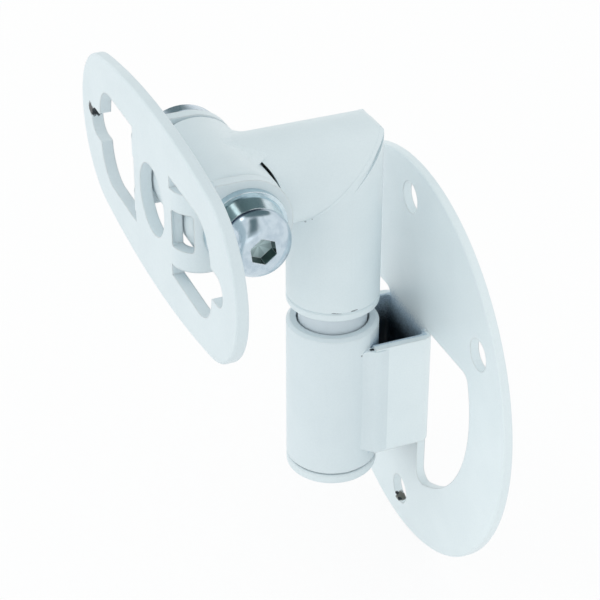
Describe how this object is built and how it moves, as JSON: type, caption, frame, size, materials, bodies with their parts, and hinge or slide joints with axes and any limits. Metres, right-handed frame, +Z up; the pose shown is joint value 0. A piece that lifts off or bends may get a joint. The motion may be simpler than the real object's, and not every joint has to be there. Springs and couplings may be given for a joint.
{
  "type": "speaker wall bracket",
  "caption": "Round wall plate with an upright pivot sleeve, a swivelling mitred tube elbow and a tilting forked oval front plate that a loudspeaker is screwed to.",
  "frame": {"origin": "centre of the wall plate's back face, where it rests on the wall", "axes": "+X along the wall to the bolt head's side, +Y into the wall, +Z up along the pivot"},
  "size_m": [0.0942, 0.0586, 0.1168],
  "materials": {
    "white_coat": "semi-gloss white powder coat",
    "zinc": "bright zinc plating",
    "nylon": "natural nylon"
  },
  "bodies": {
    "wall_mount": {"wall_plate": "white_coat", "pivot_sleeve": "white_coat", "sleeve_welds": "white_coat", "thrust_washer": "nylon"},
    "arm": {"spindle": "white_coat", "retaining_disc": "white_coat", "retaining_screw": "zinc", "elbow_end_disc": "white_coat", "elbow_upright": "white_coat", "elbow_arm": "white_coat", "mitre_weld": "white_coat", "knuckle_barrel": "white_coat", "knuckle_weld": "white_coat"},
    "head": {"front_plate": "white_coat", "friction_washers": "nylon", "flat_washers": "zinc", "conical_washer": "zinc", "clamp_bolt": "zinc", "lock_nut": "zinc", "nut_insert": "nylon"}
  },
  "joints": [
    {"name": "arm_swivel", "type": "hinge", "parent": "wall_mount", "child": "arm", "pos_m": [0, -0.0195, 0], "axis": [0, 0, 1], "range_deg": [-50, 50]},
    {"name": "head_tilt", "type": "hinge", "parent": "arm", "child": "head", "pos_m": [0, -0.0456, 0.0498], "axis": [1, 0, 0], "range_deg": [-45, 45]}
  ]
}
